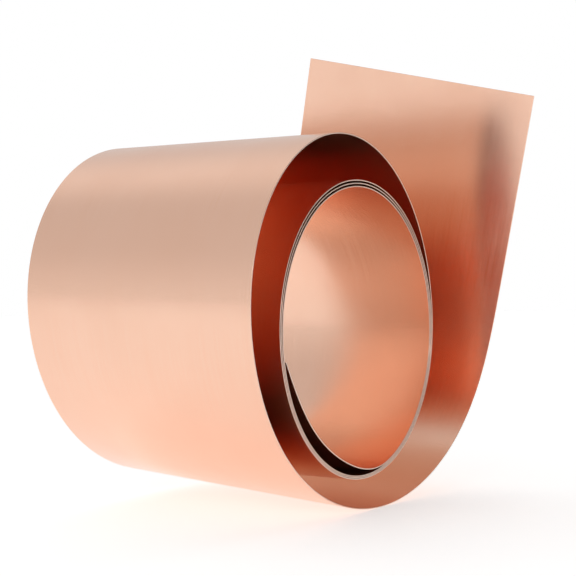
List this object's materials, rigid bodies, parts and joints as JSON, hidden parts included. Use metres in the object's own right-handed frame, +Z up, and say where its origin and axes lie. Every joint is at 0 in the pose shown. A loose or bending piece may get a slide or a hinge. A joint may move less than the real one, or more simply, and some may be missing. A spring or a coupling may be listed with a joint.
{
  "type": "copper foil roll",
  "caption": "Loosely wound roll of bare copper foil strip: tight coil, open outer turn, free inner end and a raised tail.",
  "frame": {"origin": "under the middle of the whole roll, on the surface that it stands on", "axes": "+Y along the coil's axis from its near end to its far end, +X towards the tail, +Z up"},
  "size_m": [0.1578, 0.1394, 0.1829],
  "materials": {
    "copper_coil": "bright cold-rolled copper",
    "copper_flap": "bright cold-rolled copper",
    "copper_loose_turn": "bright cold-rolled copper",
    "copper_tail": "bright cold-rolled copper"
  },
  "bodies": {
    "coil": {"outer_wrap_start": "copper_coil", "outer_wrap_left": "copper_coil", "outer_wrap_right": "copper_coil", "middle_wrap_left": "copper_coil", "middle_wrap_right": "copper_coil", "inner_wrap_left": "copper_coil", "inner_wrap_right": "copper_coil"},
    "loose_leave": {"loose_leave": "copper_loose_turn"},
    "loose_shoulder": {"loose_shoulder": "copper_loose_turn"},
    "loose_crown": {"loose_crown": "copper_loose_turn"},
    "loose_back_upper": {"loose_back_upper": "copper_loose_turn"},
    "loose_back_lower": {"loose_back_lower": "copper_loose_turn"},
    "loose_belly": {"loose_belly": "copper_loose_turn"},
    "loose_base": {"loose_base": "copper_loose_turn"},
    "tail_sweep": {"tail_sweep": "copper_tail"},
    "tail_knee": {"tail_knee": "copper_tail"},
    "tail_rise": {"tail_rise": "copper_tail"},
    "tail_upper": {"tail_upper": "copper_tail"},
    "tail_end": {"tail_end": "copper_tail"},
    "flap_root": {"flap_root": "copper_flap"},
    "flap_middle": {"flap_middle": "copper_flap"},
    "flap_tip": {"flap_tip": "copper_flap"}
  },
  "joints": [
    {"name": "loosen_loose_leave", "type": "hinge", "parent": "coil", "child": "loose_leave", "pos_m": [0.04369, 0.01558, 0.06451], "axis": [0, 1, 0], "range_deg": [0, 3], "stiffness_Nm_per_rad": 1.42},
    {"name": "loosen_loose_shoulder", "type": "hinge", "parent": "loose_leave", "child": "loose_shoulder", "pos_m": [0.03323, 0.01559, 0.10755], "axis": [-0.002, 1, 0.0083], "range_deg": [0, 3], "stiffness_Nm_per_rad": 1.42},
    {"name": "loosen_loose_crown", "type": "hinge", "parent": "loose_shoulder", "child": "loose_crown", "pos_m": [-0.00084, 0.01569, 0.13563], "axis": [-0.0086, 0.9999, 0.0138], "range_deg": [0, 3], "stiffness_Nm_per_rad": 1.42},
    {"name": "loosen_loose_back_upper", "type": "hinge", "parent": "loose_crown", "child": "loose_back_upper", "pos_m": [-0.04474, 0.01613, 0.13403], "axis": [-0.0171, 0.9998, 0.0135], "range_deg": [0, 3], "stiffness_Nm_per_rad": 1.42},
    {"name": "loosen_loose_back_lower", "type": "hinge", "parent": "loose_back_upper", "child": "loose_back_lower", "pos_m": [-0.07475, 0.01719, 0.10205], "axis": [-0.0016, 0.9995, 0.03], "range_deg": [0, 3], "stiffness_Nm_per_rad": 1.42},
    {"name": "loosen_loose_belly", "type": "hinge", "parent": "loose_back_lower", "child": "loose_belly", "pos_m": [-0.07487, 0.01863, 0.05795], "axis": [-0.0016, 0.9986, 0.0528], "range_deg": [0, 3], "stiffness_Nm_per_rad": 1.42},
    {"name": "loosen_loose_base", "type": "hinge", "parent": "loose_belly", "child": "loose_base", "pos_m": [-0.04895, 0.01964, 0.02196], "axis": [-0.015, 0.9973, 0.0713], "range_deg": [0, 3], "stiffness_Nm_per_rad": 1.42},
    {"name": "tail_flex_tail_sweep", "type": "hinge", "parent": "loose_base", "child": "tail_sweep", "pos_m": [-0.00767, 0.01945, 0.0054], "axis": [-0.0603, 0.9942, 0.0893], "range_deg": [-2, 5], "stiffness_Nm_per_rad": 1.42},
    {"name": "tail_flex_tail_knee", "type": "hinge", "parent": "tail_sweep", "child": "tail_knee", "pos_m": [0.03632, 0.01733, 0.0115], "axis": [-0.1084, 0.9907, 0.082], "range_deg": [-2, 5], "stiffness_Nm_per_rad": 1.42},
    {"name": "tail_flex_tail_rise", "type": "hinge", "parent": "tail_knee", "child": "tail_rise", "pos_m": [0.06762, 0.01174, 0.0418], "axis": [-0.1422, 0.9887, 0.0477], "range_deg": [-2, 5], "stiffness_Nm_per_rad": 1.42},
    {"name": "tail_flex_tail_upper", "type": "hinge", "parent": "tail_rise", "child": "tail_upper", "pos_m": [0.07033, 0.0014, 0.08502], "axis": [-0.1397, 0.984, 0.1107], "range_deg": [-2, 5], "stiffness_Nm_per_rad": 1.42},
    {"name": "tail_flex_tail_end", "type": "hinge", "parent": "tail_upper", "child": "tail_end", "pos_m": [0.0645, -0.01012, 0.12812], "axis": [-0.1489, 0.9736, 0.1732], "range_deg": [-2, 5], "stiffness_Nm_per_rad": 1.42},
    {"name": "flap_flex_flap_root", "type": "hinge", "parent": "coil", "child": "flap_root", "pos_m": [0.0061, 0.01558, 0.01789], "axis": [0, 1, 0], "range_deg": [0, 5], "stiffness_Nm_per_rad": 2.25},
    {"name": "flap_flex_flap_middle", "type": "hinge", "parent": "flap_root", "child": "flap_middle", "pos_m": [-0.02178, 0.01558, 0.01979], "axis": [0, 1, 0], "range_deg": [0, 5], "stiffness_Nm_per_rad": 2.25},
    {"name": "flap_flex_flap_tip", "type": "hinge", "parent": "flap_middle", "child": "flap_tip", "pos_m": [-0.04583, 0.01558, 0.03467], "axis": [0, 1, 0], "range_deg": [0, 5], "stiffness_Nm_per_rad": 2.25}
  ],
  "couplings": [
    {"joint": "loosen_loose_shoulder", "follows": "loosen_loose_leave", "ratio": 1},
    {"joint": "loosen_loose_crown", "follows": "loosen_loose_leave", "ratio": 1},
    {"joint": "loosen_loose_back_upper", "follows": "loosen_loose_leave", "ratio": 1},
    {"joint": "loosen_loose_back_lower", "follows": "loosen_loose_leave", "ratio": 1},
    {"joint": "loosen_loose_belly", "follows": "loosen_loose_leave", "ratio": 1},
    {"joint": "loosen_loose_base", "follows": "loosen_loose_leave", "ratio": 1},
    {"joint": "tail_flex_tail_knee", "follows": "tail_flex_tail_sweep", "ratio": 1},
    {"joint": "tail_flex_tail_rise", "follows": "tail_flex_tail_sweep", "ratio": 1},
    {"joint": "tail_flex_tail_upper", "follows": "tail_flex_tail_sweep", "ratio": 1},
    {"joint": "tail_flex_tail_end", "follows": "tail_flex_tail_sweep", "ratio": 1},
    {"joint": "flap_flex_flap_middle", "follows": "flap_flex_flap_root", "ratio": 1},
    {"joint": "flap_flex_flap_tip", "follows": "flap_flex_flap_root", "ratio": 1}
  ]
}
